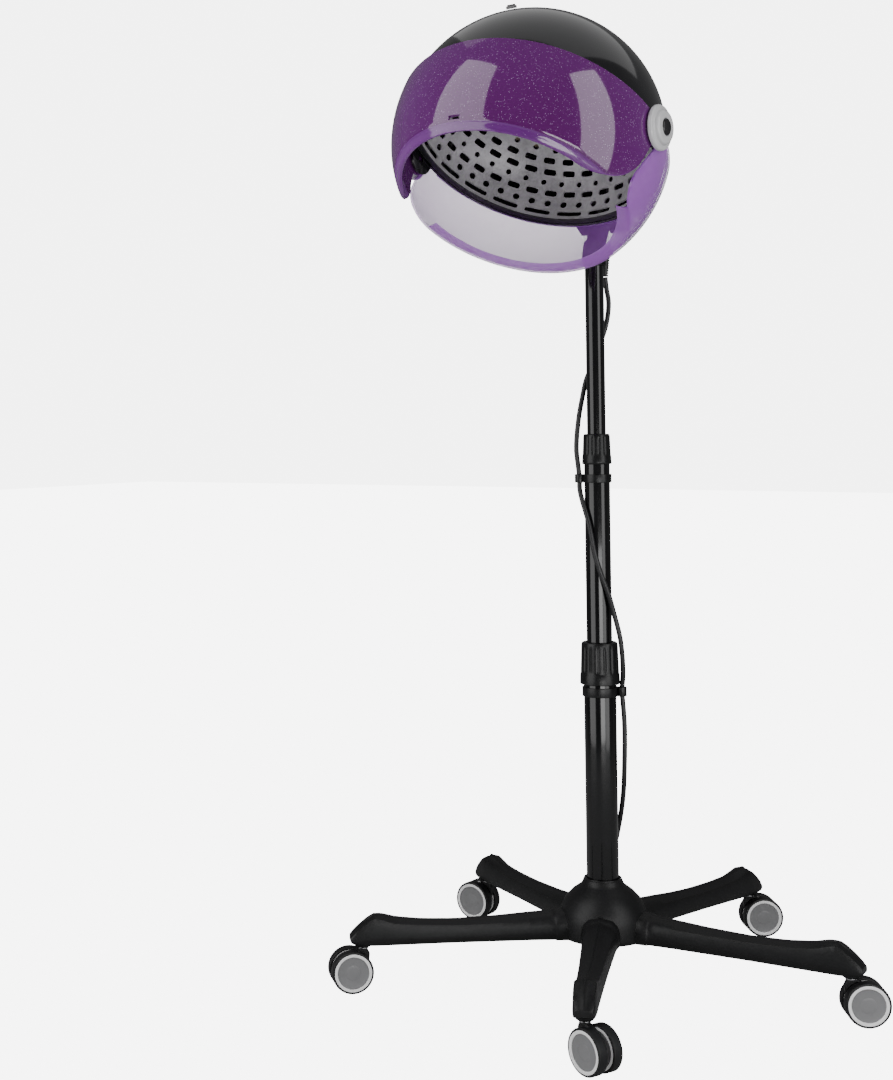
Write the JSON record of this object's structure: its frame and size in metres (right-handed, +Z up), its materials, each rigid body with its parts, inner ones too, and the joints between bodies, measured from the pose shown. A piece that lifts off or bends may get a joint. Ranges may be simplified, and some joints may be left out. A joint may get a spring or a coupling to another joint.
{
  "type": "hood hair dryer",
  "caption": "Salon hood hair dryer: bowl-shaped hood with a tilting tinted visor on a telescopic pole and a rolling star base.",
  "frame": {"origin": "middle of the footprint on the floor, under the middle of the bounding box", "axes": "+Z up, the hood opens towards -Y, +X to the wearer's left seen from behind the hood"},
  "size_m": [0.6216, 0.6212, 1.1399],
  "materials": {
    "stand_plastic": "satin black moulded plastic",
    "caster_plastic": "black plastic with pale ring",
    "wheel_tread": "dark grey tread",
    "pole": "gloss black lacquer",
    "collar": "satin black",
    "dome": "high gloss black",
    "visor_tint": "deep purple translucent with fine glitter",
    "guard_tint": "lighter purple translucent",
    "diffuser_grey": "satin grey",
    "cap_white": "light grey gloss",
    "steel": "bright steel",
    "mica": "pale insulating board",
    "switch_red": "red gloss",
    "cord_black": "satin black sheath"
  },
  "bodies": {
    "base": {"hub": "stand_plastic", "leg_1": "stand_plastic", "leg_2": "stand_plastic", "leg_3": "stand_plastic", "leg_4": "stand_plastic", "leg_5": "stand_plastic", "lower_tube": "pole", "cord_clip_lower": "collar", "cord_lower": "cord_black", "cord_coil": "cord_black", "cord_tie": "cord_black", "plug": "cord_black"},
    "caster_front": {"caster_front_housing": "caster_plastic"},
    "caster_front_wheel_a": {"caster_front_wheel_a": "wheel_tread"},
    "caster_front_wheel_b": {"caster_front_wheel_b": "wheel_tread"},
    "caster_right": {"caster_right_housing": "caster_plastic"},
    "caster_right_wheel_a": {"caster_right_wheel_a": "wheel_tread"},
    "caster_right_wheel_b": {"caster_right_wheel_b": "wheel_tread"},
    "caster_rear_right": {"caster_rear_right_housing": "caster_plastic"},
    "caster_rear_right_wheel_a": {"caster_rear_right_wheel_a": "wheel_tread"},
    "caster_rear_right_wheel_b": {"caster_rear_right_wheel_b": "wheel_tread"},
    "caster_rear_left": {"caster_rear_left_housing": "caster_plastic"},
    "caster_rear_left_wheel_a": {"caster_rear_left_wheel_a": "wheel_tread"},
    "caster_rear_left_wheel_b": {"caster_rear_left_wheel_b": "wheel_tread"},
    "caster_left": {"caster_left_housing": "caster_plastic"},
    "caster_left_wheel_a": {"caster_left_wheel_a": "wheel_tread"},
    "caster_left_wheel_b": {"caster_left_wheel_b": "wheel_tread"},
    "lower_collar": {"lower_collar": "collar"},
    "mid_stage": {"mid_tube": "pole", "cord_clip_upper": "collar", "cord_middle": "cord_black"},
    "upper_collar": {"upper_collar": "collar"},
    "upper_stage": {"upper_tube": "pole", "cord_upper": "cord_black"},
    "neck": {"neck_bracket": "collar", "strain_relief": "cord_black", "cord_top": "cord_black"},
    "tilt_knob": {"tilt_knob": "collar", "tilt_bolt": "steel"},
    "hood": {"outer_dome": "dome", "rear_housing": "collar", "intake_grille": "collar", "diffuser": "diffuser_grey", "motor": "steel", "heater_frame": "mica", "neck_guard": "guard_tint", "pivot_cap_left": "cap_white", "pivot_cap_right": "cap_white", "pivot_plug_left": "dome", "pivot_plug_right": "dome", "visor_stop": "dome"},
    "visor": {"visor": "visor_tint"},
    "impeller": {"impeller": "stand_plastic"},
    "timer_knob": {"timer_knob": "collar"},
    "temperature_knob": {"temperature_knob": "collar"},
    "power_switch": {"power_switch": "switch_red"}
  },
  "joints": [
    {"name": "caster_front_swivel", "type": "hinge", "parent": "base", "child": "caster_front", "pos_m": [0.10284, -0.27377, 0.054], "axis": [0, 0, 1], "continuous": true},
    {"name": "caster_front_spin_a", "type": "hinge", "parent": "caster_front", "child": "caster_front_wheel_a", "pos_m": [0.11702, -0.27866, 0.025], "axis": [0.3256, 0.9455, 0], "continuous": true},
    {"name": "caster_front_spin_b", "type": "hinge", "parent": "caster_front", "child": "caster_front_wheel_b", "pos_m": [0.11702, -0.27866, 0.025], "axis": [0.3256, 0.9455, 0], "continuous": true},
    {"name": "caster_right_swivel", "type": "hinge", "parent": "base", "child": "caster_right", "pos_m": [0.2702, 0.02324, 0.054], "axis": [0, 0, 1], "continuous": true},
    {"name": "caster_right_spin_a", "type": "hinge", "parent": "caster_right", "child": "caster_right_wheel_a", "pos_m": [0.28248, 0.03184, 0.025], "axis": [-0.5736, 0.8192, 0], "continuous": true},
    {"name": "caster_right_spin_b", "type": "hinge", "parent": "caster_right", "child": "caster_right_wheel_b", "pos_m": [0.28248, 0.03184, 0.025], "axis": [-0.5736, 0.8192, 0], "continuous": true},
    {"name": "caster_rear_right_swivel", "type": "hinge", "parent": "base", "child": "caster_rear_right", "pos_m": [0.03944, 0.27418, 0.054], "axis": [0, 0, 1], "continuous": true},
    {"name": "caster_rear_right_spin_a", "type": "hinge", "parent": "caster_rear_right", "child": "caster_rear_right_wheel_a", "pos_m": [0.05093, 0.28383, 0.025], "axis": [-0.6428, 0.766, 0], "continuous": true},
    {"name": "caster_rear_right_spin_b", "type": "hinge", "parent": "caster_rear_right", "child": "caster_rear_right_wheel_b", "pos_m": [0.05093, 0.28383, 0.025], "axis": [-0.6428, 0.766, 0], "continuous": true},
    {"name": "caster_rear_left_swivel", "type": "hinge", "parent": "base", "child": "caster_rear_left", "pos_m": [-0.27053, 0.13227, 0.054], "axis": [0, 0, 1], "continuous": true},
    {"name": "caster_rear_left_spin_a", "type": "hinge", "parent": "caster_rear_left", "child": "caster_rear_left_wheel_a", "pos_m": [-0.28553, 0.13253, 0.025], "axis": [-0.0175, -0.9998, 0], "continuous": true},
    {"name": "caster_rear_left_spin_b", "type": "hinge", "parent": "caster_rear_left", "child": "caster_rear_left_wheel_b", "pos_m": [-0.28553, 0.13253, 0.025], "axis": [-0.0175, -0.9998, 0], "continuous": true},
    {"name": "caster_left_swivel", "type": "hinge", "parent": "base", "child": "caster_left", "pos_m": [-0.23135, -0.20639, 0.054], "axis": [0, 0, 1], "continuous": true},
    {"name": "caster_left_spin_a", "type": "hinge", "parent": "caster_left", "child": "caster_left_wheel_a", "pos_m": [-0.24139, -0.21754, 0.025], "axis": [0.7431, -0.6691, 0], "continuous": true},
    {"name": "caster_left_spin_b", "type": "hinge", "parent": "caster_left", "child": "caster_left_wheel_b", "pos_m": [-0.24139, -0.21754, 0.025], "axis": [0.7431, -0.6691, 0], "continuous": true},
    {"name": "lower_collar_twist", "type": "hinge", "parent": "base", "child": "lower_collar", "pos_m": [-0.01788, -0.01009, 0.38], "axis": [0, 0, 1], "range_deg": [0, 90]},
    {"name": "mid_tube_slide", "type": "slide", "parent": "base", "child": "mid_stage", "axis": [0, 0, 1], "range_m": [-0.12, 0.12], "deforming": ["cord_middle"]},
    {"name": "upper_collar_twist", "type": "hinge", "parent": "mid_stage", "child": "upper_collar", "pos_m": [-0.01788, -0.01009, 0.64], "axis": [0, 0, 1], "range_deg": [0, 90]},
    {"name": "upper_tube_slide", "type": "slide", "parent": "mid_stage", "child": "upper_stage", "axis": [0, 0, 1], "range_m": [-0.12, 0.12], "deforming": ["cord_upper"]},
    {"name": "hood_swivel", "type": "hinge", "parent": "upper_stage", "child": "neck", "pos_m": [-0.01788, -0.01009, 0.87], "axis": [0, 0, 1], "range_deg": [-60, 60], "deforming": ["cord_top"]},
    {"name": "tilt_knob_turn", "type": "hinge", "parent": "neck", "child": "tilt_knob", "pos_m": [0.01212, 0.00623, 0.91205], "axis": [1, 0, 0], "range_deg": [0, 180]},
    {"name": "hood_tilt", "type": "hinge", "parent": "neck", "child": "hood", "pos_m": [-0.01788, 0.00623, 0.91205], "axis": [1, 0, 0], "range_deg": [-20, 12]},
    {"name": "visor_flip", "type": "hinge", "parent": "hood", "child": "visor", "pos_m": [-0.01788, -0.15409, 0.9874], "axis": [-1, 0, 0], "range_deg": [0, 34]},
    {"name": "impeller_spin", "type": "hinge", "parent": "hood", "child": "impeller", "pos_m": [-0.01788, -0.08929, 1.0824], "axis": [0, 0.5635, 0.8261], "continuous": true},
    {"name": "timer_knob_turn", "type": "hinge", "parent": "hood", "child": "timer_knob", "pos_m": [-0.04488, 0.04419, 0.93203], "axis": [0, -0.8261, 0.5635], "range_deg": [0, 300]},
    {"name": "temperature_knob_turn", "type": "hinge", "parent": "hood", "child": "temperature_knob", "pos_m": [0.00912, 0.04419, 0.93203], "axis": [0, -0.8261, 0.5635], "range_deg": [0, 270]},
    {"name": "power_switch_rock", "type": "hinge", "parent": "hood", "child": "power_switch", "pos_m": [-0.01788, 0.03841, 0.93598], "axis": [1, 0, 0], "range_deg": [-5, 5]}
  ]
}
